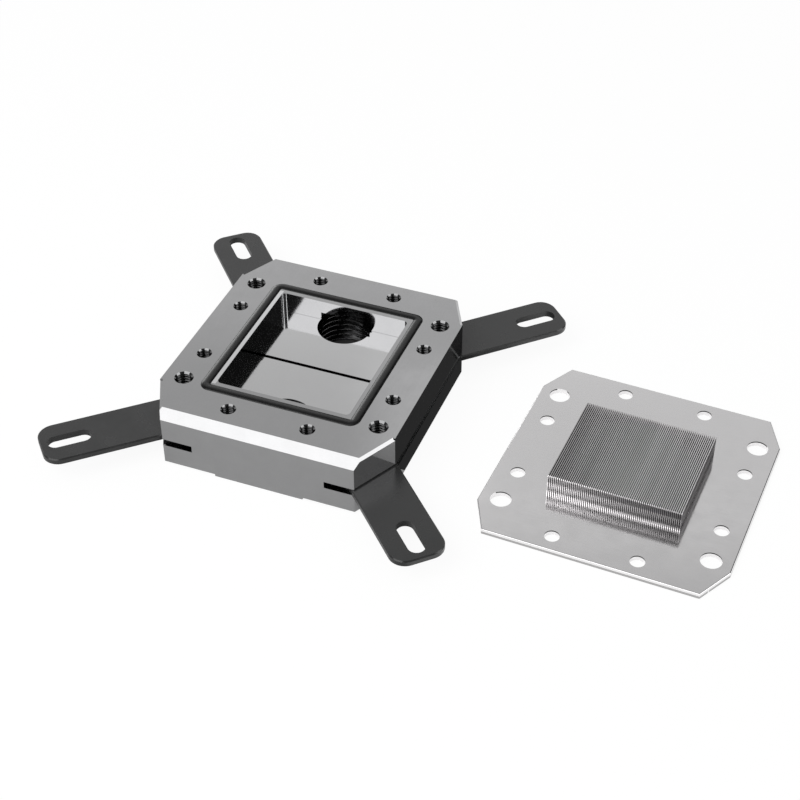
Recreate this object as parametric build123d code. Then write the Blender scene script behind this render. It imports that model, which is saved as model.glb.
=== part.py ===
from build123d import *

# CPU water block, opened: the body lies chamber up, and its finned cold plate lies beside it.
# Millimetres, +Z up, +Y towards the back. The origin is the centre of the resting face, which
# is the raised strip on the body's outer side.

import math
import os

# Body block
body_width = 53.5
body_length = 60.8
body_height = 13.3
end_bevel_run = 2.0
end_bevel_drop = 1.9
corner_cut_x = 5.0
corner_cut_y = 10.0
corner_edge_bevel = 0.55

# Raised strip on the outer side, which the body rests on and the hose fittings seal on
strip_width = 20.0
strip_height = 0.5

# Screw pattern shared by body and cold plate: distances from the block's sides and ends, and
# half the spacing of each pair
corner_screw_from_side = 4.5
corner_screw_from_end = 12.25
side_screw_from_side = 4.85
side_screw_half_spacing = 9.1
end_screw_from_end = 6.25
end_screw_half_spacing = 8.95

# Tapped holes in the body: M3 small ones and M4 corner ones, each with a bevelled mouth
small_tap_bore = 2.5
small_tap_depth = 6.0
corner_tap_bore = 3.3
corner_tap_depth = 11.0
tap_mouth_bevel = 0.42

# Water chamber, with a narrow cut and a shallow relief across its floor
chamber_side_wall = 11.6
chamber_end_wall = 13.35
chamber_depth = 5.0
chamber_corner_radius = 1.0
cross_cut_y = 0.45
cross_cut_width = 0.75
cross_cut_depth = 0.9
relief_width = 1.5
relief_depth = 0.12

# Seal groove round the chamber, given by its middle line, and the cord ring that lies in it
groove_line_from_side = 1.95
groove_line_from_end = 2.1
groove_line_radius = 1.3
groove_width = 2.1
groove_depth = 1.5
cord_diameter = 1.8

# G1/4 ports, bored from the outer side until they break into the chamber and its end walls
back_port_from_end_wall = 0.5
front_port_from_end_wall = 0.05
port_tap_bore = 11.8
port_above_floor = 1.9
port_mouth_bevel = 0.7

# Mounting brackets, each loose in a slot along one side, so that it lies a little turned and shifted
bracket_thickness = 1.5
bracket_edge_bevel = 0.25
left_bracket_turn = -2.7
left_bracket_shift = (-0.38, -1.0)
right_bracket_turn = -0.93
right_bracket_shift = (-0.2, 0.0)
arm_angle = 45.0
arm_width = 11.75
arm_tip_radius = 3.5
arm_root_radius = 0.6
arm_slot_distance = 53.75
arm_slot_travel = 5.7
arm_slot_width = 3.7
arm_tip_wall = 1.5
bracket_screw_hole = 6.0

# Side slots, with the brackets' clearances in them
slot_level = 4.5
slot_depth = 11.75
slot_headroom = 0.1
slot_back_gap = 1.0
slot_lip_bevel = 0.3

# Cold plate, lying beside the body with its fins up
plate_thickness = 1.2
plate_end_margin = 0.45
plate_edge_round = 0.25
plate_small_hole = 3.2
plate_corner_hole = 4.5
plate_gap = 18.07
plate_y = 0.53
plate_turn = -2.3

# Fins, cut out of the plate's own metal, with the room they leave round them in the chamber
fin_side_room = 0.9
fin_end_room = 4.3
fin_floor_room = 0.1
fin_pitch = 0.41
fin_thickness = 0.18
fin_end_bevel = 0.2

# How far a cutter runs past the face that it opens
overcut = 1.0

# Levels worked out from the values above
block_bottom = strip_height
block_top = block_bottom + body_height
slot_bottom = block_bottom + slot_level
slot_top = slot_bottom + bracket_thickness + slot_headroom
chamber_floor = block_top - chamber_depth
groove_floor = block_top - groove_depth
port_roof = chamber_floor + port_above_floor

# Sizes and places worked out from the values above
side_x = body_width / 2
end_y = body_length / 2
top_end_y = end_y - end_bevel_run
top_corner_y = corner_cut_y - end_bevel_run
top_corner_x = corner_cut_x * top_corner_y / corner_cut_y
corner_screw_place = (side_x - corner_screw_from_side, end_y - corner_screw_from_end)
side_screw_place = (side_x - side_screw_from_side, side_screw_half_spacing)
end_screw_place = (end_screw_half_spacing, end_y - end_screw_from_end)
chamber_width = body_width - 2 * chamber_side_wall
chamber_length = body_length - 2 * chamber_end_wall
groove_line_width = chamber_width + 2 * groove_line_from_side
groove_line_length = chamber_length + 2 * groove_line_from_end
back_port_y = chamber_length / 2 - back_port_from_end_wall
front_port_y = front_port_from_end_wall - chamber_length / 2
slot_inner_x = side_x - slot_depth
bracket_inner_x = slot_inner_x + slot_back_gap
arm_reach = arm_slot_distance + arm_slot_travel / 2 + arm_slot_width / 2 + arm_tip_wall
plate_length = 2 * (top_end_y - plate_end_margin)
plate_x = side_x + plate_gap + body_width / 2
fin_field_width = chamber_width - 2 * fin_side_room
fin_length = chamber_length - 2 * fin_end_room
fin_height = chamber_depth - fin_floor_room
fin_count = int((fin_field_width - fin_thickness) / fin_pitch) + 1


def four_places(place):
    """One screw's place in all four quadrants."""
    x, y = place
    return [Pos(sx * x, sy * y, 0) for sx in (-1, 1) for sy in (-1, 1)]


def between_levels(outline, bottom, top):
    """An outline in the XY plane as a straight solid between two levels."""
    return extrude(Pos(0, 0, bottom) * outline, amount=top - bottom)


def bar(width, length, bottom, top):
    """A centred rectangular solid between two levels."""
    return between_levels(Rectangle(width, length), bottom, top)


def turned(*points):
    """A closed outline of (radius, level) points turned about the Z axis."""
    return revolve(Plane.XZ * make_face(Polyline(*points, close=True)), Axis.Z)


def cut_corner_outline(width, length, leg_x, leg_y):
    """A rectangle with its four corners cut off."""
    x, y = width / 2, length / 2
    return make_face(Polyline(
        (x, y - leg_y), (x - leg_x, y), (leg_x - x, y), (-x, y - leg_y),
        (-x, leg_y - y), (leg_x - x, -y), (x - leg_x, -y), (x, leg_y - y), close=True))


def corner_wedges(size, level, direction):
    """Cutters that bevel an edge of each cut corner: the edge lies at the level, the wedge's
    point lies above it (direction 1) or below it (direction -1)."""
    leg = math.hypot(corner_cut_x, corner_cut_y)
    turn = math.degrees(math.atan2(corner_cut_x, corner_cut_y))
    section = make_face(Polyline((size, 0), (-size, 0), (0, direction * size), close=True))
    wedge = extrude(Plane.XZ * section, amount=leg / 2, both=True)
    x = side_x - corner_cut_x / 2
    y = end_y - corner_cut_y / 2
    return [Pos(sx * x, sy * y, level) * Rot(0, 0, sx * sy * turn) * wedge
            for sx in (-1, 1) for sy in (-1, 1)]


def body_blank():
    """The block with bevelled ends, cut corners and the raised strip below."""
    outline = cut_corner_outline(body_width, body_length, corner_cut_x, corner_cut_y)
    shoulder = block_top - end_bevel_drop
    profile = make_face(Polyline(
        (-end_y, block_bottom), (end_y, block_bottom), (end_y, shoulder), (top_end_y, block_top),
        (-top_end_y, block_top), (-end_y, shoulder), close=True))
    blank = between_levels(outline, block_bottom, block_top)
    blank &= extrude(Plane.YZ * profile, amount=side_x, both=True)
    blank -= corner_wedges(corner_edge_bevel, block_top, -1)
    return blank + bar(strip_width, body_length, 0, block_bottom + overcut)


def side_slots():
    """The slots along both sides, open at the side and at both ends."""
    depth = side_x - slot_inner_x + overcut
    slot = bar(depth, body_length + 2 * overcut, slot_bottom, slot_top)
    return [Pos(side * (slot_inner_x + depth / 2), 0, 0) * slot for side in (-1, 1)]


def chamber():
    """The water chamber with the cut and the relief across its floor."""
    outline = RectangleRounded(chamber_width, chamber_length, chamber_corner_radius)
    room = between_levels(outline, chamber_floor, block_top + overcut)
    cut = bar(chamber_width, cross_cut_width, chamber_floor - cross_cut_depth, block_top)
    relief = bar(chamber_width, relief_width, chamber_floor - relief_depth, block_top)
    relief_y = cross_cut_y - cross_cut_width / 2 - relief_width / 2
    return [room, Pos(0, cross_cut_y, 0) * cut, Pos(0, relief_y, 0) * relief]


def seal_groove():
    """The band between two round-cornered rectangles."""
    half = groove_width / 2
    outer = RectangleRounded(groove_line_width + groove_width, groove_line_length + groove_width,
                             groove_line_radius + half)
    inner = RectangleRounded(groove_line_width - groove_width, groove_line_length - groove_width,
                             groove_line_radius - half)
    return between_levels(outer - inner, groove_floor, block_top + overcut)


def tapped_hole(bore, depth):
    """A flat-bottomed tapping hole cut down from the top face, with a bevelled mouth."""
    radius = bore / 2
    mouth = radius + tap_mouth_bevel
    return turned(
        (0, block_top + overcut), (mouth, block_top + overcut), (mouth, block_top),
        (radius, block_top - tap_mouth_bevel), (radius, block_top - depth), (0, block_top - depth))


def port():
    """One port's tapping bore, cut up from the raised strip."""
    radius = port_tap_bore / 2
    mouth = radius + port_mouth_bevel
    return turned(
        (0, -overcut), (mouth, -overcut), (mouth, 0), (radius, port_mouth_bevel),
        (radius, port_roof), (0, port_roof))


def make_body():
    """The milled block with everything that is cut into it."""
    small = tapped_hole(small_tap_bore, small_tap_depth)
    large = tapped_hole(corner_tap_bore, corner_tap_depth)
    body = body_blank()
    body -= side_slots()
    body -= corner_wedges(slot_lip_bevel, slot_top, 1)
    body -= chamber()
    body -= seal_groove()
    body -= [place * small for place in four_places(side_screw_place) + four_places(end_screw_place)]
    body -= [place * large for place in four_places(corner_screw_place)]
    body -= [Pos(0, y, 0) * port() for y in (front_port_y, back_port_y)]
    return body


def make_seal_ring():
    """The cord ring, lying on the groove's floor along the groove's middle line."""
    level = groove_floor + cord_diameter / 2
    outline = RectangleRounded(groove_line_width, groove_line_length, groove_line_radius)
    path = Pos(0, 0, level) * outline.face().outer_wire()
    section = Plane(origin=path @ 0, z_dir=path % 0) * Circle(cord_diameter / 2)
    return sweep(section, path=path)


def bracket_outline():
    """The right bracket in plan: two arms that point away from the body's centre, and the strip
    between them that fills the slot."""
    turn = math.radians(arm_angle)
    slope, offset = math.tan(turn), arm_width / 2 / math.cos(turn)
    tip_x, tip_y = arm_reach * math.cos(turn), arm_reach * math.sin(turn)
    across_x, across_y = arm_width / 2 * math.sin(turn), arm_width / 2 * math.cos(turn)
    upper = [(side_x, side_x * slope - offset), (tip_x + across_x, tip_y - across_y),
             (tip_x - across_x, tip_y + across_y),
             (bracket_inner_x, bracket_inner_x * slope + offset)]
    lower = [(x, -y) for x, y in reversed(upper)]
    outline = make_face(Polyline(*upper, *lower, close=True))
    outline = fillet(outline.vertices().sort_by(Axis.X)[-4:], arm_tip_radius)
    roots = outline.vertices().filter_by(lambda corner: math.isclose(corner.X, side_x))
    return fillet(roots, arm_root_radius)


def right_bracket():
    """The right bracket with its arm slots, screw holes and bevelled outer edges."""
    outline = bracket_outline()
    slot = Pos(arm_slot_distance, 0) * SlotCenterToCenter(arm_slot_travel, arm_slot_width)
    outline -= [Rot(0, 0, side * arm_angle) * slot for side in (-1, 1)]
    x, y = corner_screw_place
    outline -= [Pos(x, side * y) * Circle(bracket_screw_hole / 2) for side in (-1, 1)]
    bracket = between_levels(outline, slot_bottom, slot_bottom + bracket_thickness)
    flats = bracket.faces().sort_by(Axis.Z)
    rims = flats[0].outer_wire().edges() + flats[-1].outer_wire().edges()
    return chamfer(rims, bracket_edge_bevel)


def make_right_bracket():
    """The right bracket as it lies in its slot."""
    return Pos(*right_bracket_shift) * Rot(0, 0, right_bracket_turn) * right_bracket()


def make_left_bracket():
    """The left bracket, which is the right one turned round, as it lies in its slot."""
    return Pos(*left_bracket_shift) * Rot(0, 0, 180 + left_bracket_turn) * right_bracket()


def fins():
    """The row of upright fins, their ends bevelled at the top."""
    half, root, top = fin_length / 2, plate_thickness / 2, plate_thickness + fin_height
    profile = make_face(Polyline(
        (-half, root), (half, root), (half, top - fin_end_bevel), (half - fin_end_bevel, top),
        (fin_end_bevel - half, top), (-half, top - fin_end_bevel), close=True))
    fin = extrude(Plane.YZ * profile, amount=fin_thickness / 2, both=True)
    first = -(fin_count - 1) * fin_pitch / 2
    return [Pos(first + index * fin_pitch, 0, 0) * fin for index in range(fin_count)]


def make_cold_plate():
    """The plate with its rounded rim, holes and fins, turned a little where it lies."""
    outline = cut_corner_outline(body_width, plate_length, top_corner_x, top_corner_y)
    plate = between_levels(outline, 0, plate_thickness)
    plate = fillet(plate.faces().sort_by(Axis.Z)[-1].edges(), plate_edge_round)
    small = between_levels(Circle(plate_small_hole / 2), -overcut, plate_thickness + overcut)
    large = between_levels(Circle(plate_corner_hole / 2), -overcut, plate_thickness + overcut)
    plate -= [place * small for place in four_places(side_screw_place) + four_places(end_screw_place)]
    plate -= [place * large for place in four_places(corner_screw_place)]
    plate += fins()
    return Pos(plate_x, plate_y, 0) * Rot(0, 0, plate_turn) * plate


nodes = {
    "body": make_body(),
    "seal_ring": make_seal_ring(),
    "bracket_right": make_right_bracket(),
    "bracket_left": make_left_bracket(),
    "cold_plate": make_cold_plate(),
}

os.makedirs("parts", exist_ok=True)
for name, shape in nodes.items():
    export_step(shape, f"parts/{name}.step")
    print(f"{name}: {shape.volume:.1f} mm3")
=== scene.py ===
"""An opened processor water block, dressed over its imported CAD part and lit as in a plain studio."""

import logging
import math
from collections.abc import Iterable
from dataclasses import dataclass, field
from enum import Enum

import bmesh
import bpy
from mathutils import Matrix, Vector

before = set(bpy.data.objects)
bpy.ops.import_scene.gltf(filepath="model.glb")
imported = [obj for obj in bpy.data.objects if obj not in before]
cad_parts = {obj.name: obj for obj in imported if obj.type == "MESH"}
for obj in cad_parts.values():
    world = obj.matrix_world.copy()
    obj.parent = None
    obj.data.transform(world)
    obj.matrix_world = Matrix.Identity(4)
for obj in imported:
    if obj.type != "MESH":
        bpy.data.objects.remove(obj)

LOG = logging.getLogger("water_block")
MM = 0.001

Socket = bpy.types.NodeSocket
Colour = tuple[float, float, float]
Corner = tuple[float, float, float]
Stops = tuple[tuple[float, float], ...]

# Places of the colours among the mix node's sockets
MIX_INPUTS = (6, 7)
MIX_OUTPUT = 2

WELD_DISTANCE = 2e-6
EVEN: Stops = ((-0.5, 1.0), (0.5, 1.0))

WHITE = (1.0, 1.0, 1.0)
BLACK = (0.0, 0.0, 0.0)
CHAMBER_GREY = (0.66, 0.66, 0.665)
# A darker strip at the foot of the chamber's back wall, where it meets the floor.
BACK_WALL_FOOT_GREY = (0.38, 0.38, 0.385)
# Painted shade: near black inside the cross cut over the chamber floor.
CUT_SHADE_GREY = (0.08, 0.08, 0.08)
# Painted highlight: a pale tone on the land left of the chamber, a reflection painted on that side.
LAND_HIGHLIGHT_GREY = (0.82, 0.82, 0.83)
# Painted shade: a darker tone round the screw holes' mouths, which dims their reflections.
MOUTH_SHADE_GREY = (0.24, 0.24, 0.243)
# Painted shade: the lower half of the plate's rim darkened, a painted reflection of shaded floor.
RIM_SHADE_GREY = (0.40, 0.395, 0.395)
# Painted shade: near black high in the plate's hole walls.
HOLE_SHADE_GREY = (0.03, 0.03, 0.03)


class Thread(Enum):
    """Thread sizes cut into the block, as (core radius, outer radius, pitch) in millimetres."""

    M3 = (1.19, 1.52, 0.5)
    M4 = (1.58, 2.03, 0.7)
    G_QUARTER = (5.78, 6.58, 1.337)


class Graph:
    """A node tree with short calls to add and wire its nodes."""

    def __init__(self, tree: bpy.types.NodeTree) -> None:
        """Takes over a node tree and empties it.

        Args:
            tree: The tree of a material or of the world.
        """
        self.tree = tree
        tree.nodes.clear()

    def add(self, kind: str, values: dict[str, object] | None = None, **settings: object) -> bpy.types.Node:
        """Adds one node.

        Args:
            kind: The node's type name.
            values: Input values by socket name.
            **settings: Properties of the node itself.

        Returns:
            The new node.
        """
        node = self.tree.nodes.new(kind)
        for name, value in settings.items():
            setattr(node, name, value)
        for name, value in (values or {}).items():
            node.inputs[name].default_value = value
        return node

    def wire(self, source: Socket, target: Socket) -> None:
        """Joins an output to an input."""
        self.tree.links.new(source, target)

    def place(self, scale: Corner = (1.0, 1.0, 1.0), turn: float = 0.0) -> Socket:
        """Object coordinates, stretched and turned about the upright axis.

        Args:
            scale: Repeats per metre along each axis.
            turn: Turn about Z in degrees.

        Returns:
            The vector output.
        """
        coordinates = self.add("ShaderNodeTexCoord")
        mapping = self.add("ShaderNodeMapping", {"Scale": scale, "Rotation": (0, 0, math.radians(turn))})
        self.wire(coordinates.outputs["Object"], mapping.inputs["Vector"])
        return mapping.outputs["Vector"]

    def noise(self, scale: Corner, detail: float = 2.0, turn: float = 0.0) -> Socket:
        """A noise value on the object.

        Args:
            scale: Repeats per metre along each axis.
            detail: Octaves of the noise.
            turn: Turn about Z in degrees.

        Returns:
            The noise value, around one half.
        """
        texture = self.add("ShaderNodeTexNoise", {"Scale": 1.0, "Detail": detail})
        self.wire(self.place(scale, turn), texture.inputs["Vector"])
        return texture.outputs["Fac"]

    def spread(self, value: Socket, low: float, high: float, start: float = 0.3, end: float = 0.7) -> Socket:
        """Maps a value from one span to another.

        Args:
            value: The value to map.
            low: Result at the span's start.
            high: Result at the span's end.
            start: Where the span starts.
            end: Where the span ends.

        Returns:
            The mapped value.
        """
        node = self.add("ShaderNodeMapRange", {
            "From Min": start, "From Max": end, "To Min": low, "To Max": high})
        self.wire(value, node.inputs["Value"])
        return node.outputs["Result"]

    def math(self, operation: str, first: Socket | float, second: Socket | float = 0.0) -> Socket:
        """One sum on one or two values.

        Args:
            operation: The math node's operation.
            first: First value.
            second: Second value, where the operation takes two.

        Returns:
            The result.
        """
        node = self.add("ShaderNodeMath", operation=operation)
        for socket, value in zip(node.inputs, (first, second)):
            if isinstance(value, Socket):
                self.wire(value, socket)
            else:
                socket.default_value = value
        return node.outputs["Value"]

    def blend(self, share: Socket, first: Colour | Socket, second: Colour | Socket) -> Socket:
        """Blends two colours.

        Args:
            share: Share of the second colour.
            first: Colour at 0.
            second: Colour at 1.

        Returns:
            The blended colour.
        """
        node = self.add("ShaderNodeMix", data_type="RGBA")
        for number, colour in zip(MIX_INPUTS, (first, second)):
            if isinstance(colour, Socket):
                self.wire(colour, node.inputs[number])
            else:
                node.inputs[number].default_value = (*colour, 1)
        self.wire(share, node.inputs["Factor"])
        return node.outputs[MIX_OUTPUT]

    def ramp(self, value: Socket, stops: Stops) -> Socket:
        """A grey tone read off a row of stops.

        Args:
            value: The place along the row.
            stops: Pairs of place and tone, in rising order of place.

        Returns:
            The tone as a colour.
        """
        low, high = stops[0][0], stops[-1][0]
        node = self.add("ShaderNodeValToRGB")
        self.wire(self.spread(value, 0.0, 1.0, low, high), node.inputs[0])
        while len(node.color_ramp.elements) < len(stops):
            node.color_ramp.elements.new(1.0)
        for element, (place, tone) in zip(node.color_ramp.elements, stops):
            element.position = (place - low) / (high - low)
            element.color = (tone, tone, tone, 1)
        return node.outputs[0]

    def ramp_mm(self, value: Socket, stops: Stops, start: float = 0.0) -> Socket:
        """A grey tone read off a row of stops whose places are millimetres past a start."""
        return self.ramp(value, tuple(((start + place) * MM, tone) for place, tone in stops))

    def split(self, vector: Socket) -> bpy.types.NodeOutputs:
        """Takes a vector apart.

        Args:
            vector: The vector.

        Returns:
            Its X, Y and Z.
        """
        node = self.add("ShaderNodeSeparateXYZ")
        self.wire(vector, node.inputs[0])
        return node.outputs

    def along(self, axis: str) -> Socket:
        """The place on the object along one of its axes, in metres."""
        return self.split(self.place())[axis]

    def inside(self, low: Corner, high: Corner, turn: float = 0.0) -> Socket:
        """Tells whether a point lies in a box on the object.

        Args:
            low: The box's low corner, in millimetres.
            high: The box's high corner, in millimetres.
            turn: Turn about Z in degrees that squares the object up with the box.

        Returns:
            1 inside the box and 0 outside it.
        """
        share = None
        for axis, start, end in zip(self.split(self.place(turn=turn)), low, high):
            for operation, limit in (("GREATER_THAN", start), ("LESS_THAN", end)):
                test = self.math(operation, axis, limit * MM)
                share = test if share is None else self.math("MULTIPLY", share, test)
        return share

    def bump(self, height: Socket, depth: float) -> Socket:
        """Turns a height into a bumped normal.

        Args:
            height: The height, 0 to 1.
            depth: Real depth in metres.

        Returns:
            The normal.
        """
        node = self.add("ShaderNodeBump", {"Strength": 1.0, "Distance": depth})
        self.wire(height, node.inputs["Height"])
        return node.outputs["Normal"]

    def rays(self) -> tuple[Socket, Socket]:
        """Tells how a point is seen.

        Returns:
            1 where it is looked at, and 1 where it is mirrored.
        """
        path = self.add("ShaderNodeLightPath")
        seen = self.math("MAXIMUM", path.outputs["Is Camera Ray"], path.outputs["Is Transmission Ray"])
        return seen, path.outputs["Is Glossy Ray"]


def new_material(name: str) -> tuple[bpy.types.Material, Graph, Socket]:
    """Starts a material with nothing but its output.

    Args:
        name: The material's name.

    Returns:
        The material, its graph and the socket that takes its surface.
    """
    material = bpy.data.materials.new(name)
    material.use_nodes = True
    graph = Graph(material.node_tree)
    return material, graph, graph.add("ShaderNodeOutputMaterial").inputs["Surface"]


def new_finish(name: str) -> tuple[bpy.types.Material, Graph, bpy.types.Node]:
    """Starts a material with one principled shader.

    Args:
        name: The material's name.

    Returns:
        The material, its graph and its shader node.
    """
    material, graph, surface = new_material(name)
    shader = graph.add("ShaderNodeBsdfPrincipled")
    graph.wire(shader.outputs["BSDF"], surface)
    return material, graph, shader


@dataclass(frozen=True)
class Patch:
    """A box on an object whose surface takes a tone set in its place, with corners in millimetres."""

    low: Corner
    high: Corner
    colour: Colour


@dataclass(frozen=True)
class PlatedMetal:
    """Nickel plating over machined metal, with cloudy tone, fine grain and an uneven polish."""

    name: str
    pale: Colour
    dark: Colour
    roughness: tuple[float, float]
    grain_along: Corner
    grain_turn: float
    grain_depth: float
    cloud_scale: float = 260.0
    grain_share: float = 0.35
    tone_span: tuple[float, float] = (0.36, 0.64)
    patches: tuple[Patch, ...] = ()

    def make(self) -> bpy.types.Material:
        """Builds the material."""
        return self.parts()[0]

    def parts(self) -> tuple[bpy.types.Material, Graph, bpy.types.Node, Socket]:
        """Builds the plating.

        Returns:
            The material, its graph, its shader and its colour.
        """
        material, graph, shader = new_finish(self.name)
        shader.inputs["Metallic"].default_value = 1.0
        cloud = graph.noise((self.cloud_scale,) * 3, detail=3.0)
        grain = graph.noise(self.grain_along, detail=3.0, turn=self.grain_turn)
        tone = graph.math("ADD", graph.math("MULTIPLY", grain, self.grain_share),
                          graph.math("MULTIPLY", cloud, 1.0 - self.grain_share))
        colour = graph.blend(graph.spread(tone, 0, 1, *self.tone_span), self.dark, self.pale)
        # Each box sets its tone over the plating; what each one paints is told where the boxes are listed.
        for patch in self.patches:
            colour = graph.blend(graph.inside(patch.low, patch.high), colour, patch.colour)
        graph.wire(colour, shader.inputs["Base Color"])
        graph.wire(graph.spread(tone, *reversed(self.roughness), *self.tone_span), shader.inputs["Roughness"])
        graph.wire(graph.bump(grain, self.grain_depth), shader.inputs["Normal"])
        return material, graph, shader, colour


@dataclass(frozen=True)
class FinnedMetal(PlatedMetal):
    """Bright plating on a plate, with fins whose roughness changes by height, and painted light and shade
    on the fins: painted stripes of reflection and shade by height, painted shade that deepens towards +X
    and between the fins towards -X, painted light on the flanks near the front, and painted tones on the
    fins' upper faces.

    Stops are in millimetres. Those of the roughness, the painted stripes and the powers of the shade that
    deepens towards +X go by the height over the plate's top, those of the flanks' painted light by the
    place along Y, and all others along X.
    """

    plate_top: float = 1.2
    fin_roughness: Stops = ((0.0, 0.27), (0.6, 0.27), (0.85, 0.42), (4.9, 0.42))
    # Painted stripes of reflection and shade up the fins, as tones by height.
    painted_bands: Stops = (
        (0.0, 1.0), (0.6, 1.0), (0.85, 0.80), (1.26, 0.52), (1.8, 0.80), (2.4, 1.0), (2.66, 1.0),
        (2.9, 0.86), (3.1, 0.70), (3.4, 0.42), (4.0, 0.45), (4.55, 0.52), (4.72, 1.0), (4.895, 1.0))
    # Painted shade on the fins that deepens towards +X.
    shade_fade: Stops = (
        (57.3, 1.0), (60.3, 1.0), (66.0, 0.76), (71.0, 0.55), (76.0, 0.44), (81.7, 0.33), (85.8, 0.28))
    # Powers of that painted shade by height: weak near the plate.
    shade_fade_powers: Stops = (
        (0.0, 0.05), (0.15, 0.05), (0.32, 0.45), (0.6, 0.6), (1.0, 1.0), (2.7, 0.95), (2.9, 0.6),
        (3.1, 0.6), (3.35, 1.0), (4.5, 1.0), (4.72, 0.35), (4.895, 0.35))
    # Painted tones on the fins' upper faces, darker towards -X.
    painted_tops: Stops = ((57.3, 0.60), (62.0, 0.71), (66.0, 0.88), (72.0, 0.94), (85.8, 1.03))
    top_roughness: float = 0.30
    upper_facing: tuple[float, float] = (0.9, 0.95)
    fin_start: tuple[float, float] = (0.002, 0.02)
    # How much weaker that painted shade is on the flanks.
    flank_shade_fade: float = 0.35
    streak_scale: Corner = (300.0, 14.0, 14.0)
    streaks: tuple[float, float] = (0.85, 1.1)
    # Painted light on the flanks near the fins' front ends, blending them towards white.
    flank_painted_light: Stops = ((-11.2, 0.75), (-9.0, 0.12))
    # Painted shade on the flanks deep between the fins, darkest towards -X.
    shaded_gaps: tuple[Corner, Corner] = ((57.35, -8.4, 1.2), (85.64, 14.8, 6.2))
    gap_shade_tones: Stops = ((57.3, 0.12), (64.0, 0.35), (70.0, 0.66), (78.0, 0.88), (85.8, 1.0))
    tint: Colour = (1.0, 0.975, 0.985)

    def make(self) -> bpy.types.Material:
        """Builds the material.

        Returns:
            The material.
        """
        material, graph, shader, colour = self.parts()
        level, across = graph.along("Z"), graph.along("X")
        facing = graph.split(graph.add("ShaderNodeNewGeometry").outputs["True Normal"])
        flank = graph.math("ABSOLUTE", facing["X"])
        # Painted stripes of reflection and shade by height.
        painted_bands = graph.ramp_mm(level, self.painted_bands, self.plate_top)
        # Painted light on the flanks near the fins' front ends, blending them towards white.
        lit_flanks = graph.ramp_mm(graph.along("Y"), self.flank_painted_light)
        painted_bands = graph.blend(graph.math("MULTIPLY", flank, lit_flanks), painted_bands, WHITE)
        # Painted shade that deepens towards +X, weaker on the flanks and near the plate.
        power = graph.math("MULTIPLY", graph.spread(flank, 1.0, self.flank_shade_fade, 0.0, 1.0),
                           graph.ramp_mm(level, self.shade_fade_powers, self.plate_top))
        shade_fade = graph.math("POWER", graph.ramp_mm(across, self.shade_fade), power)
        # Painted shade on the flanks deep between the fins, darkest towards -X.
        in_shaded_gaps = graph.math("MULTIPLY", flank, graph.inside(*self.shaded_gaps, self.grain_turn))
        gap_shade = graph.ramp_mm(across, self.gap_shade_tones)
        shade_fade = graph.math("MULTIPLY", shade_fade, graph.blend(in_shaded_gaps, WHITE, gap_shade))
        streaks = graph.spread(graph.noise(self.streak_scale), *self.streaks)
        # Painted tones on the fins' upper faces, with random streaks.
        painted_tops = graph.math("MULTIPLY", streaks, graph.ramp_mm(across, self.painted_tops))
        upper = graph.spread(facing["Z"], 0.0, 1.0, *self.upper_facing)
        tone = graph.blend(upper, graph.math("MULTIPLY", painted_bands, shade_fade), painted_tops)
        fins = graph.spread(level, 0.0, 1.0, *((self.plate_top + height) * MM for height in self.fin_start))
        tinted = graph.blend(tone, BLACK, self.tint)
        graph.wire(graph.blend(fins, colour, tinted), shader.inputs["Base Color"])
        polish = shader.inputs["Roughness"].links[0].from_socket
        ends = graph.ramp_mm(level, self.fin_roughness, self.plate_top)
        cut_faces = graph.math("MULTIPLY", fins, graph.blend(upper, ends, (self.top_roughness,) * 3))
        graph.wire(graph.math("MAXIMUM", polish, cut_faces), shader.inputs["Roughness"])
        return material


@dataclass(frozen=True)
class BlackedSteel:
    """Satin black coat on steel sheet, with a fine orange-peel skin."""

    name: str = "satin_black_steel"
    pale: Colour = (0.047, 0.0475, 0.048)
    dark: Colour = (0.037, 0.0375, 0.038)
    roughness: tuple[float, float] = (0.20, 0.30)
    skin_scale: float = 2600.0
    skin_depth: float = 4e-6
    cloud_scale: float = 160.0
    ior: float = 1.55

    def make(self) -> bpy.types.Material:
        """Builds the material.

        Returns:
            The material.
        """
        material, graph, shader = new_finish(self.name)
        shader.inputs["IOR"].default_value = self.ior
        skin = graph.noise((self.skin_scale,) * 3, detail=2.0)
        cloud = graph.noise((self.cloud_scale,) * 3, detail=3.0)
        graph.wire(graph.blend(graph.spread(cloud, 0, 1), self.dark, self.pale), shader.inputs["Base Color"])
        graph.wire(graph.spread(cloud, *self.roughness), shader.inputs["Roughness"])
        graph.wire(graph.bump(skin, self.skin_depth), shader.inputs["Normal"])
        return material


@dataclass(frozen=True)
class RubberCord:
    """Black rubber, shiny with grease."""

    name: str = "black_rubber"
    pale: Colour = (0.010, 0.010, 0.0104)
    dark: Colour = (0.005, 0.005, 0.0053)
    roughness: tuple[float, float] = (0.24, 0.34)
    skin_scale: float = 3200.0
    skin_depth: float = 1e-6
    cloud_scale: float = 420.0
    ior: float = 1.55

    def make(self) -> bpy.types.Material:
        """Builds the material.

        Returns:
            The material.
        """
        material, graph, shader = new_finish(self.name)
        shader.inputs["IOR"].default_value = self.ior
        skin = graph.noise((self.skin_scale,) * 3, detail=3.0)
        cloud = graph.noise((self.cloud_scale,) * 3, detail=2.0)
        graph.wire(graph.blend(graph.spread(cloud, 0, 1), self.dark, self.pale), shader.inputs["Base Color"])
        graph.wire(graph.spread(skin, *self.roughness), shader.inputs["Roughness"])
        graph.wire(graph.bump(skin, self.skin_depth), shader.inputs["Normal"])
        return material


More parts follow.
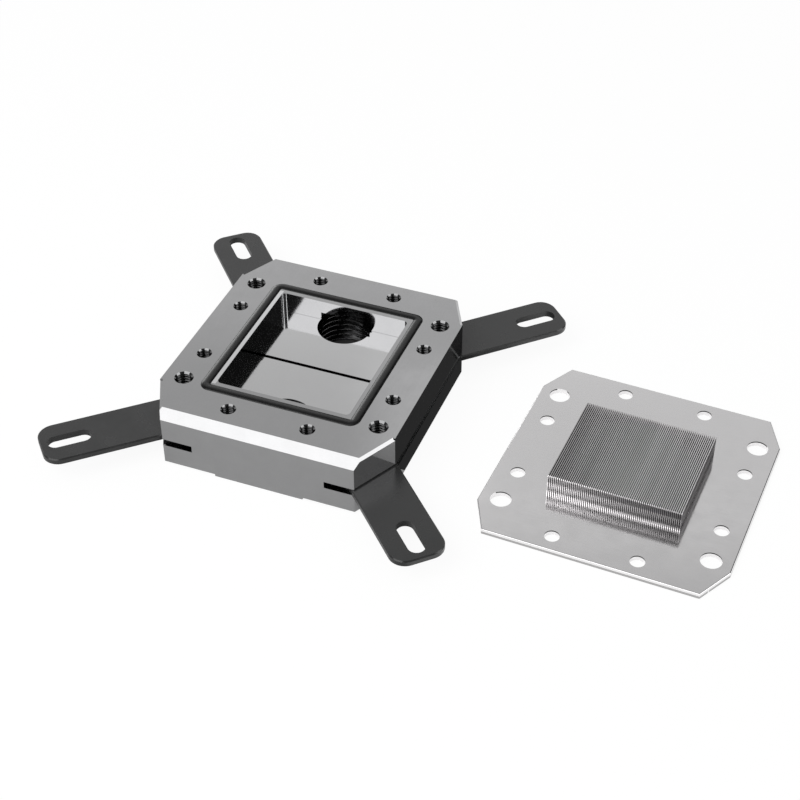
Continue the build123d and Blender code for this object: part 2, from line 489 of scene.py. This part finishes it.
@dataclass(frozen=True)
class StudioPaper:
    """The pale floor: lit and shadowed as paper, and near white where it is looked at, but for the covered
    place under the block, where the glow is cut off and leaves painted shade. In reflections it glows too,
    but weakly near the block and hardly at all in a strip by its right side, a painted shadow. Its places
    are in millimetres."""

    name: str = "studio_paper"
    paper: Colour = (0.62, 0.62, 0.62)
    seen_paper: Colour = (0.12, 0.12, 0.12)
    seen_white: float = 0.93
    # Glow in reflections along X: weak near the block, near none by its right side, a painted shadow.
    mirrored_glow_and_shadow: Stops = ((30.0, 0.20), (34.0, 0.02), (40.5, 0.02), (45.0, 0.66))
    # The place under the block, where the glow is cut off as painted shade.
    covered: tuple[Corner, Corner] = ((-21.0, -29.0, -1.0), (21.0, 29.0, 1.0))
    fibre_scale: float = 900.0
    fibre_dark: float = 0.98

    def make(self) -> bpy.types.Material:
        """Builds the material.

        Returns:
            The material.
        """
        material, graph, surface = new_material(self.name)
        seen, mirrored = graph.rays()
        fibre = graph.noise((self.fibre_scale,) * 3, detail=2.0)
        sheet = graph.add("ShaderNodeBsdfDiffuse")
        low = tuple(value * self.fibre_dark for value in self.paper)
        graph.wire(graph.blend(fibre, low, self.paper), sheet.inputs["Color"])
        seen_sheet = graph.add("ShaderNodeBsdfDiffuse", {"Color": (*self.seen_paper, 1)})
        choice = graph.add("ShaderNodeMixShader")
        graph.wire(seen, choice.inputs[0])
        graph.wire(sheet.outputs[0], choice.inputs[1])
        graph.wire(seen_sheet.outputs[0], choice.inputs[2])
        white = graph.add("ShaderNodeEmission")
        # In reflections the floor glows along X, with a painted shadow by the block's right side.
        mirrored_glow_shadowed = graph.math("MULTIPLY", mirrored, graph.ramp_mm(graph.along("X"), self.mirrored_glow_and_shadow))
        glow = graph.math("ADD", graph.math("MULTIPLY", seen, self.seen_white), mirrored_glow_shadowed)
        # The glow is cut off under the block, which leaves painted shade there.
        open_paper = graph.math("SUBTRACT", 1.0, graph.inside(*self.covered))
        graph.wire(graph.math("MULTIPLY", glow, open_paper), white.inputs["Strength"])
        both = graph.add("ShaderNodeAddShader")
        graph.wire(choice.outputs[0], both.inputs[0])
        graph.wire(white.outputs[0], both.inputs[1])
        graph.wire(both.outputs[0], surface)
        return material


@dataclass(frozen=True)
class CardGlow:
    """The glow of a studio card, which may change across it and up it."""

    name: str
    strength: float
    across: Stops = EVEN
    upward: Stops = EVEN

    def make(self) -> bpy.types.Material:
        """Builds the material.

        Returns:
            The material.
        """
        material, graph, surface = new_material(self.name)
        glow = graph.add("ShaderNodeEmission", {"Strength": self.strength})
        if (self.across, self.upward) != (EVEN, EVEN):
            tone = graph.math("MULTIPLY", graph.ramp(graph.along("X"), self.across),
                              graph.ramp(graph.along("Y"), self.upward))
            graph.wire(graph.math("MULTIPLY", tone, self.strength), glow.inputs["Strength"])
        graph.wire(glow.outputs[0], surface)
        return material


def add_object(name: str, data: bpy.types.ID) -> bpy.types.Object:
    """Adds an object to the scene.

    Args:
        name: Its name.
        data: Its mesh, lamp or camera.

    Returns:
        The object.
    """
    piece = bpy.data.objects.new(name, data)
    bpy.context.scene.collection.objects.link(piece)
    return piece


def dress(node: str, material: bpy.types.Material) -> bpy.types.Object:
    """Gives a CAD node its finish.

    Args:
        node: The node's name.
        material: Its finish.

    Returns:
        The node's object.
    """
    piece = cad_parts[node]
    piece.data.materials.clear()
    piece.data.materials.append(material)
    return piece


def shape_graph(piece: bpy.types.Object, name: str) -> tuple[Graph, Socket, Socket]:
    """Gives a piece a modifier whose nodes are still to be wired.

    Args:
        piece: The object.
        name: The modifier's name.

    Returns:
        The modifier's graph, the socket that gives the shape and the one that takes it.
    """
    tree = bpy.data.node_groups.new(name, "GeometryNodeTree")
    for way in ("INPUT", "OUTPUT"):
        tree.interface.new_socket("Geometry", in_out=way, socket_type="NodeSocketGeometry")
    piece.modifiers.new(name, "NODES").node_group = tree
    graph = Graph(tree)
    return graph, graph.add("NodeGroupInput").outputs[0], graph.add("NodeGroupOutput").inputs[0]


def sharpen(piece: bpy.types.Object, angle: float) -> None:
    """Adds a modifier that shades smooth and keeps edges past an angle sharp.

    Args:
        piece: The object.
        angle: The least angle of a sharp edge, in degrees.
    """
    graph, start, end = shape_graph(piece, "sharp_edges")
    edge = graph.add("GeometryNodeInputMeshEdgeAngle")
    over = graph.add("FunctionNodeCompare", {"B": math.radians(angle)}, operation="GREATER_THAN")
    graph.wire(edge.outputs["Unsigned Angle"], over.inputs["A"])
    mark = graph.add("GeometryNodeStoreNamedAttribute", {"Name": "sharp_edge"}, data_type="BOOLEAN",
                     domain="EDGE")
    smooth = graph.add("GeometryNodeSetShadeSmooth")
    graph.wire(start, smooth.inputs["Geometry"])
    graph.wire(smooth.outputs[0], mark.inputs["Geometry"])
    graph.wire(over.outputs[0], mark.inputs["Value"])
    graph.wire(mark.outputs[0], end)


@dataclass
class ThreadPlug:
    """A closed threaded plug, in millimetres, which cuts a thread into the wall of a bored hole, and
    leaves it with one of the plugs' dark platings, which paint shade inside the hole."""

    thread: Thread
    bottom: float
    top: float
    around: int
    rows_per_turn: int = 4
    turn: float = 0.0
    # Which of the two dark platings the thread takes; both paint shade inside the holes.
    coat: int = 0

    def add_to(self, mesh: bmesh.types.BMesh, x: float, y: float) -> None:
        """Adds the plug to a mesh.

        Args:
            mesh: The mesh that it joins.
            x: Its axis, in millimetres.
            y: Its axis, in millimetres.
        """
        core, outer, pitch = self.thread.value
        rows = math.ceil((self.top - self.bottom) / pitch * self.rows_per_turn)
        rings = []
        for row in range(rows + 1):
            level = self.bottom + (self.top - self.bottom) * row / rows
            ring = []
            for step in range(self.around):
                share = step / self.around
                phase = (level / pitch - share - self.turn) % 1.0
                radius = core + (outer - core) * (1.0 - abs(2.0 * phase - 1.0))
                angle = 2 * math.pi * share
                ring.append(mesh.verts.new((
                    (x + radius * math.cos(angle)) * MM, (y + radius * math.sin(angle)) * MM, level * MM)))
            rings.append(ring)
        sides = []
        for low, high in zip(rings, rings[1:]):
            for step in range(self.around):
                after = (step + 1) % self.around
                sides.append(mesh.faces.new((low[step], low[after], high[after], high[step])))
        sides.append(mesh.faces.new(list(reversed(rings[0]))))
        sides.append(mesh.faces.new(rings[-1]))
        for side in sides:
            side.material_index = self.coat


@dataclass
class BodyBlock:
    """The plated block, with threads cut into its ports and screw holes, in millimetres."""

    top: float = 13.8
    corner_holes: tuple[float, float] = (22.25, 18.15)
    side_holes: tuple[float, float] = (21.9, 9.1)
    end_holes: tuple[float, float] = (8.95, 24.15)
    port_places: tuple[float, float] = (-17.0, 16.55)
    small_depth: float = 5.6
    corner_depth: float = 10.4
    above_top: float = 0.3
    port_thread_ends: tuple[float, float] = (-0.4, 9.3)
    port_thread_turn: float = 0.23
    port_thread_rows: int = 6
    small_facets: int = 24
    corner_facets: int = 28
    port_facets: int = 72
    sharp_angle: float = 25.0
    finish: PlatedMetal = PlatedMetal(
        "body_nickel", pale=(0.475, 0.475, 0.48), dark=(0.455, 0.455, 0.46), roughness=(0.07, 0.11),
        grain_along=(3200.0, 240.0, 3200.0), grain_turn=12.0, grain_depth=1.5e-7, patches=(
            Patch((-15.14, -17.04, 8.6), (15.14, 17.04, 8.85), CHAMBER_GREY),
            # A darker strip at the foot of the back wall.
            Patch((-15.14, 17.04, 8.7), (15.14, 17.06, 8.94), BACK_WALL_FOOT_GREY),
            # Painted shade in the cross cut.
            Patch((-15.1, 0.0, 7.0), (15.1, 0.9, 8.67), CUT_SHADE_GREY),
            # Painted highlight on the left land.
            Patch((-16.2, -17.6, 13.7), (-15.13, 17.6, 13.9), LAND_HIGHLIGHT_GREY),
            # Painted shade round the hole mouths, dimming their reflections.
            Patch((-24.6, -21.0, 13.3), (-19.8, 21.0, 13.79), MOUTH_SHADE_GREY),
            Patch((19.8, -21.0, 13.3), (24.6, 21.0, 13.79), MOUTH_SHADE_GREY),
            Patch((-11.5, -26.3, 13.3), (11.5, -22.0, 13.79), MOUTH_SHADE_GREY),
            Patch((-11.5, 22.0, 13.3), (11.5, 26.3, 13.79), MOUTH_SHADE_GREY)))
    # Dark plating on the screw holes' threads: painted shade deep in the holes.
    hole_shaded_plating: PlatedMetal = PlatedMetal(
        "hole_thread_shaded_nickel", pale=(0.085, 0.085, 0.086), dark=(0.035, 0.035, 0.036), roughness=(0.16, 0.24),
        grain_along=(2400.0, 2400.0, 2400.0), grain_turn=0.0, grain_depth=3e-7)
    # Darker plating on the ports' threads: painted shade deep in the ports.
    port_shaded_plating: PlatedMetal = PlatedMetal(
        "port_thread_shaded_nickel", pale=(0.058, 0.058, 0.059), dark=(0.018, 0.018, 0.019),
        roughness=(0.20, 0.32), grain_along=(900.0, 900.0, 900.0), grain_turn=0.0, grain_depth=3e-7)

    def cutters(self) -> bpy.types.Object:
        """Builds all threaded plugs as one hidden object.

        Returns:
            The hidden object.
        """
        mesh = bmesh.new()
        mouth = self.top + self.above_top
        small = ThreadPlug(Thread.M3, self.top - self.small_depth, mouth, self.small_facets)
        corner = ThreadPlug(Thread.M4, self.top - self.corner_depth, mouth, self.corner_facets)
        port = ThreadPlug(Thread.G_QUARTER, *self.port_thread_ends, self.port_facets, self.port_thread_rows,
                          self.port_thread_turn, coat=1)
        for side in (-1, 1):
            for end in (-1, 1):
                for x, y in (self.side_holes, self.end_holes):
                    small.add_to(mesh, side * x, end * y)
                corner.add_to(mesh, side * self.corner_holes[0], end * self.corner_holes[1])
        for y in self.port_places:
            port.add_to(mesh, 0.0, y)
        data = bpy.data.meshes.new("thread_plugs")
        mesh.to_mesh(data)
        mesh.free()
        # The threads take these dark platings, which paint the shade inside the holes and ports.
        for finish in (self.hole_shaded_plating, self.port_shaded_plating):
            data.materials.append(finish.make())
        plugs = add_object("thread_plugs", data)
        plugs.hide_render = True
        plugs.display_type = "WIRE"
        return plugs

    def build(self) -> list[bpy.types.Object]:
        """Cuts the threads and gives the block its plating.

        Returns:
            The pieces.
        """
        piece = dress("body", self.finish.make())
        piece.modifiers.new("weld", "WELD").merge_threshold = WELD_DISTANCE
        cut = piece.modifiers.new("threads", "BOOLEAN")
        cut.operation = "DIFFERENCE"
        cut.solver = "EXACT"
        cut.object = self.cutters()
        cut.material_mode = "TRANSFER"
        sharpen(piece, self.sharp_angle)
        return [piece]


@dataclass
class SealRing:
    """The rubber cord ring, squeezed into the groove so that it fills it from wall to wall. Its sizes
    are in millimetres."""

    cord_radius: float = 0.9
    swell: float = 1.5
    half_groove: float = 1.045
    least_lean: float = 0.001
    sharp_angle: float = 60.0
    finish: RubberCord = RubberCord()

    def squeeze(self, piece: bpy.types.Object) -> None:
        """Adds a modifier that widens the cord sideways, as far as the groove's walls.

        Args:
            piece: The ring.
        """
        graph, start, end = shape_graph(piece, "squeezed_cord")
        along_x, along_y, _ = graph.split(graph.add("GeometryNodeInputNormal").outputs[0])
        lean = graph.math("SQRT", graph.math("ADD", graph.math("MULTIPLY", along_x, along_x),
                                             graph.math("MULTIPLY", along_y, along_y)))
        wide = graph.math("MINIMUM", graph.math("MULTIPLY", lean, self.cord_radius * self.swell * MM),
                          self.half_groove * MM)
        more = graph.math("SUBTRACT", wide, graph.math("MULTIPLY", lean, self.cord_radius * MM))
        share = graph.math("DIVIDE", more, graph.math("MAXIMUM", lean, self.least_lean))
        shift = graph.add("ShaderNodeCombineXYZ")
        graph.wire(graph.math("MULTIPLY", along_x, share), shift.inputs[0])
        graph.wire(graph.math("MULTIPLY", along_y, share), shift.inputs[1])
        move = graph.add("GeometryNodeSetPosition")
        graph.wire(start, move.inputs["Geometry"])
        graph.wire(shift.outputs[0], move.inputs["Offset"])
        graph.wire(move.outputs[0], end)

    def build(self) -> list[bpy.types.Object]:
        """Squeezes the ring into the groove and gives it its rubber.

        Returns:
            The pieces.
        """
        piece = dress("seal_ring", self.finish.make())
        piece.modifiers.new("weld", "WELD").merge_threshold = WELD_DISTANCE
        self.squeeze(piece)
        sharpen(piece, self.sharp_angle)
        return [piece]


@dataclass
class MountingBrackets:
    """The two black brackets in the block's side slots."""

    finish: BlackedSteel = BlackedSteel()

    def build(self) -> list[bpy.types.Object]:
        """Gives both brackets their black coat."""
        coat = self.finish.make()
        return [dress(node, coat) for node in ("bracket_left", "bracket_right")]


@dataclass
class ColdPlate:
    """The plated copper plate with its fins."""

    finish: FinnedMetal = FinnedMetal(
        "plate_nickel", pale=(0.865, 0.855, 0.86), dark=(0.835, 0.825, 0.83), roughness=(0.10, 0.15),
        grain_along=(260.0, 3600.0, 3600.0), grain_turn=2.3, grain_depth=1.5e-7, patches=(
            # Painted shade on the lower half of the plate's rim: a painted reflection of shaded floor.
            Patch((43.0, -30.0, -0.1), (100.0, -26.2, 0.6), RIM_SHADE_GREY),
            Patch((96.6, -30.0, -0.1), (100.0, 30.0, 0.6), RIM_SHADE_GREY),
            Patch((94.5, -28.0, -0.1), (98.5, -19.0, 0.6), RIM_SHADE_GREY),
            # Painted shade high in the walls of the plate's holes.
            Patch((60.0, -25.9, 0.9), (83.0, 27.0, 1.195), HOLE_SHADE_GREY),
            Patch((47.0, -20.5, 0.9), (96.3, 21.5, 1.195), HOLE_SHADE_GREY)))

    def build(self) -> list[bpy.types.Object]:
        """Gives the plate its plating."""
        return [dress("cold_plate", self.finish.make())]


def towards(bearing: float, height_angle: float) -> Vector:
    """The direction at a bearing, from +Y towards +X, and a height angle, both in degrees."""
    turn, rise = math.radians(bearing), math.radians(height_angle)
    return Vector((math.sin(turn) * math.cos(rise), math.cos(turn) * math.cos(rise), math.sin(rise)))


def lay_sheet(name: str, low: Corner, high: Corner, finish: bpy.types.Material) -> bpy.types.Object:
    """Adds a flat rectangle to the studio.

    Args:
        name: Its name.
        low: Its low corner, in metres.
        high: Its high corner, at the same level.
        finish: Its finish.

    Returns:
        The rectangle.
    """
    (left, front, level), (right, back, _) = low, high
    data = bpy.data.meshes.new(name)
    corners = [(left, front, level), (right, front, level), (right, back, level), (left, back, level)]
    data.from_pydata(corners, [], [(0, 1, 2, 3)])
    data.materials.append(finish)
    return add_object(name, data)


def show_in_reflections(piece: bpy.types.Object) -> None:
    """Leaves a studio piece to be seen in reflections only.

    Args:
        piece: The studio piece.
    """
    piece.visible_camera = False
    piece.visible_diffuse = False
    piece.visible_shadow = False
    piece.visible_transmission = False


@dataclass
class StudioCard:
    """A flat card that stands round the object and faces it, with sizes in metres."""

    name: str
    bearing: float
    height_angle: float
    distance: float
    width: float
    height: float
    glow: float
    across: Stops = EVEN
    upward: Stops = EVEN

    def build(self, centre: Vector) -> bpy.types.Object:
        """Stands the card up.

        Args:
            centre: The point that it faces.

        Returns:
            The card.
        """
        outward = towards(self.bearing, self.height_angle)
        across = towards(self.bearing + 90.0, 0.0)
        upward = across.cross(outward)
        glow = CardGlow(self.name + "_glow", self.glow, self.across, self.upward).make()
        card = lay_sheet(self.name, (-0.5, -0.5, 0.0), (0.5, 0.5, 0.0), glow)
        turned = Matrix((across, upward, across.cross(upward))).transposed().to_4x4()
        card.matrix_world = (Matrix.Translation(centre + outward * self.distance) @ turned
                             @ Matrix.Diagonal((self.width, self.height, 1, 1)))
        show_in_reflections(card)
        return card


@dataclass
class Softbox:
    """A square soft lamp that faces the object, with sizes in metres."""

    name: str
    bearing: float
    height_angle: float
    distance: float
    side: float
    glow: float

    def build(self, centre: Vector) -> bpy.types.Object:
        """Hangs the lamp.

        Args:
            centre: The point that it faces.

        Returns:
            The lamp.
        """
        outward = towards(self.bearing, self.height_angle)
        data = bpy.data.lights.new(self.name, "AREA")
        data.shape = "SQUARE"
        data.size = self.side
        data.energy = self.glow * math.pi * self.side ** 2
        lamp = add_object(self.name, data)
        lamp.location = centre + outward * self.distance
        lamp.rotation_mode = "QUATERNION"
        lamp.rotation_quaternion = outward.to_track_quat("Z", "Y")
        lamp.visible_camera = False
        return lamp


@dataclass
class Studio:
    """The pale floor, the lamps, and the cards that the plating mirrors, in metres, and a dark flag on the
    floor, a painted shadow for the plating to mirror, whose corners are in millimetres."""

    floor_side: float = 6.0
    room_light: float = 0.42
    # A dark sheet on the floor by the block's right side: painted shadow, seen in reflections only.
    floor_shadow_flag: tuple[Corner, Corner] = ((26.8, -14.5, 0.1), (36.0, 75.0, 0.1))
    shadow_flag_glow: float = 0.036
    mirrored_room: Stops = ((0.12, 1.0), (0.45, 0.10), (0.94, 0.10), (0.985, 0.62))
    centre: Vector = field(default_factory=lambda: Vector((0.02, 0.0, 0.01)))
    lamps: list[Softbox] = field(default_factory=lambda: [
        Softbox("key_lamp", bearing=205.0, height_angle=46.0, distance=0.75, side=0.62, glow=1.97),
    ])
    cards: list[StudioCard] = field(default_factory=lambda: [
        StudioCard("back_left_card", bearing=-20.0, height_angle=41.0, distance=2.7, width=2.19, height=2.1,
                   glow=0.76, upward=(
                       (-0.135, 1.0), (-0.09, 0.93), (-0.05, 0.80), (-0.0225, 0.77), (0.0, 0.78),
                       (0.034, 0.75), (0.079, 0.86), (0.1, 0.72), (0.2, 0.5))),
        StudioCard("back_bright_strip", bearing=-20.6, height_angle=41.2, distance=2.6, width=0.23,
                   height=0.24, glow=0.82, across=((-0.5, 0.74), (-0.1, 1.0), (0.3, 1.0), (0.5, 0.8))),
        StudioCard("back_right_flag", bearing=30.0, height_angle=40.0, distance=2.6, width=1.5, height=2.4,
                   glow=0.01),
        StudioCard("left_low_card", bearing=-45.0, height_angle=13.0, distance=2.5, width=0.95, height=1.1,
                   glow=2.6),
        StudioCard("back_low_flag", bearing=-4.0, height_angle=7.0, distance=2.55, width=1.5, height=0.62,
                   glow=0.03),
        StudioCard("front_right_flag", bearing=158.0, height_angle=42.0, distance=2.6, width=1.0,
                   height=1.8, glow=0.03),
        StudioCard("right_card", bearing=78.0, height_angle=35.0, distance=2.6, width=1.5, height=1.5,
                   glow=2.0),
    ])

    def build(self) -> None:
        """Lays the floor, hangs the lamps and stands the cards."""
        half = self.floor_side / 2
        floor = lay_sheet("studio_floor", (-half, -half, 0.0), (half, half, 0.0), StudioPaper().make())
        for piece in (*self.lamps, *self.cards):
            piece.build(self.centre)
        self.build_floor_shadow()
        self.build_room()

    def build_floor_shadow(self) -> None:
        """Lays a dark flag on the floor at the block's right side, a painted shadow for that side to mirror.
        """
        low, high = (tuple(value * MM for value in corner) for corner in self.floor_shadow_flag)
        flag = lay_sheet("floor_shadow_flag", low, high, CardGlow("floor_shadow_flag_glow", self.shadow_flag_glow).make())
        show_in_reflections(flag)

    def build_room(self) -> None:
        """Makes the room white where it is seen, with a dark ceiling and a pale skylight for the plating
        to mirror, and a soft fill for everything else."""
        world = bpy.data.worlds.new("studio_room")
        world.use_nodes = True
        graph = Graph(world.node_tree)
        seen, mirrored = graph.rays()
        upward = graph.split(graph.add("ShaderNodeTexCoord").outputs["Generated"])["Z"]
        room = graph.add("ShaderNodeBackground")
        choice = graph.add("ShaderNodeMix", data_type="FLOAT")
        graph.wire(mirrored, choice.inputs["Factor"])
        graph.wire(graph.spread(seen, self.room_light, 1.0, 0.0, 1.0), choice.inputs["A"])
        graph.wire(graph.ramp(upward, self.mirrored_room), choice.inputs["B"])
        graph.wire(choice.outputs["Result"], room.inputs["Strength"])
        output = graph.add("ShaderNodeOutputWorld")
        graph.wire(room.outputs[0], output.inputs["Surface"])
        bpy.context.scene.world = world


@dataclass
class PhotoCamera:
    """The camera, at the place, in millimetres, that a fit of the photograph's edges gave."""

    bearing: float = 21.484
    height_angle: float = 40.021
    distance: float = 372.40
    roll: float = -0.261
    lens: float = 75.858
    sensor: float = 36.0
    clip: tuple[float, float] = (0.01, 20.0)
    target: Vector = field(default_factory=lambda: Vector((17.428, 6.149, 0.5)))

    def build(self) -> bpy.types.Object:
        """Sets the camera up.

        Returns:
            The camera.
        """
        forward = towards(-self.bearing, -self.height_angle)
        right = towards(90.0 - self.bearing, 0.0)
        roll = math.radians(self.roll)
        upward = right.cross(forward)
        across = right * math.cos(roll) + upward * math.sin(roll)
        up = -right * math.sin(roll) + upward * math.cos(roll)
        data = bpy.data.cameras.new("photo_camera")
        data.lens = self.lens
        data.sensor_width = self.sensor
        data.clip_start, data.clip_end = self.clip
        camera = add_object("photo_camera", data)
        turned = Matrix((across, up, -forward)).transposed().to_4x4()
        camera.matrix_world = Matrix.Translation((self.target - forward * self.distance) * MM) @ turned
        bpy.context.scene.camera = camera
        return camera


def report(pieces: Iterable[bpy.types.Object]) -> None:
    """Writes a line of the log for each piece.

    Args:
        pieces: The pieces.
    """
    for piece in pieces:
        LOG.info("%s: %d faces, %s", piece.name, len(piece.data.polygons), piece.data.materials[0].name)


def main() -> None:
    """Builds the camera, the water block's pieces and the studio."""
    logging.basicConfig(level=logging.INFO, format="%(name)s: %(message)s")
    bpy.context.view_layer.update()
    bpy.context.scene.view_settings.view_transform = "Standard"
    PhotoCamera().build()
    for part in (BodyBlock(), SealRing(), MountingBrackets(), ColdPlate()):
        report(part.build())
    Studio().build()


if __name__ == "__main__":
    main()
